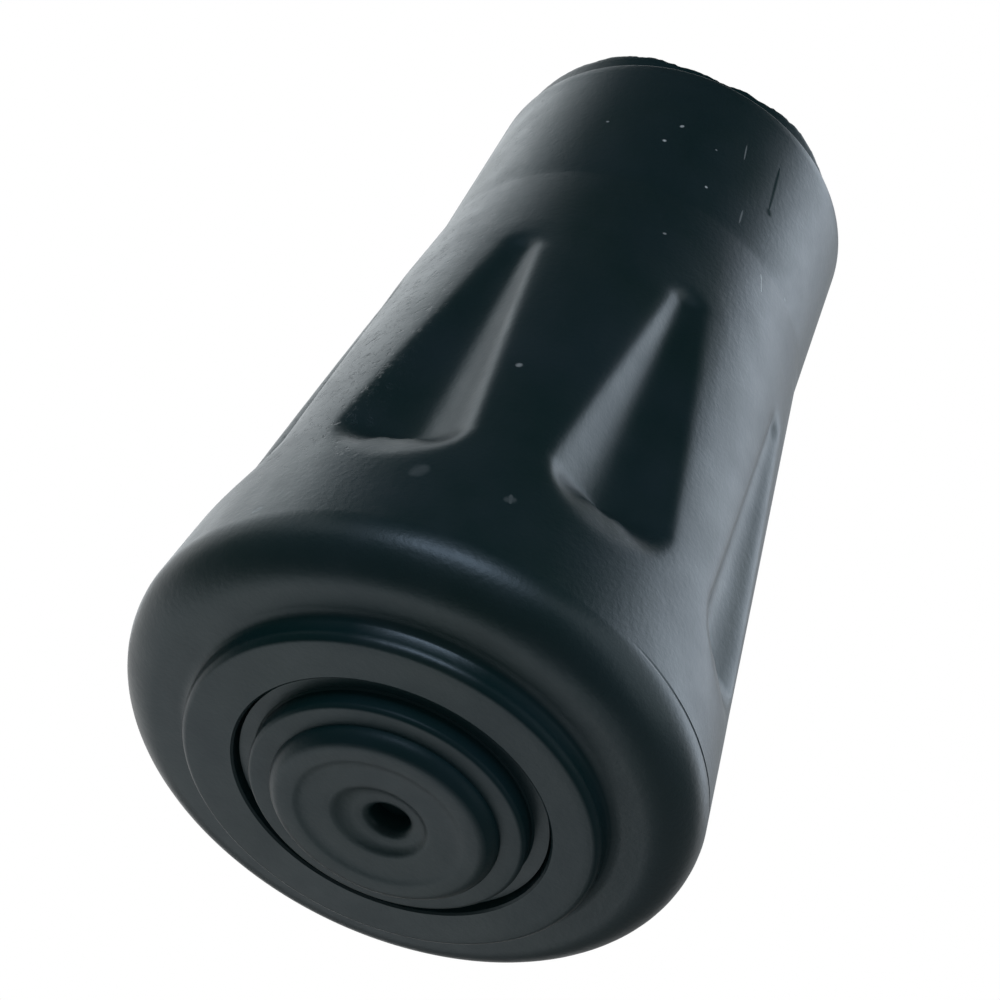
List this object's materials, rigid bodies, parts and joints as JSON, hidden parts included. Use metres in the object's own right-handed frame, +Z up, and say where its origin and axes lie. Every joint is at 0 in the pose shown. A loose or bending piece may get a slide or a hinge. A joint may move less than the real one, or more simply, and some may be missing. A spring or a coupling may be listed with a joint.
{
  "type": "rubber cane tip",
  "caption": "Push-on rubber ferrule for a walking pole: stepped round foot, flared body with teardrop scoops, plain sleeve and a blind bore.",
  "frame": {"origin": "centre of the foot, on the ground that the tip stands on", "axes": "+Z up the axis and out of the bore's mouth; +X through the middle of one scoop"},
  "size_m": [0.03, 0.03, 0.053],
  "materials": {
    "rubber": "satin moulded black rubber"
  },
  "bodies": {
    "root": {"cane_tip": "rubber"}
  },
  "joints": []
}
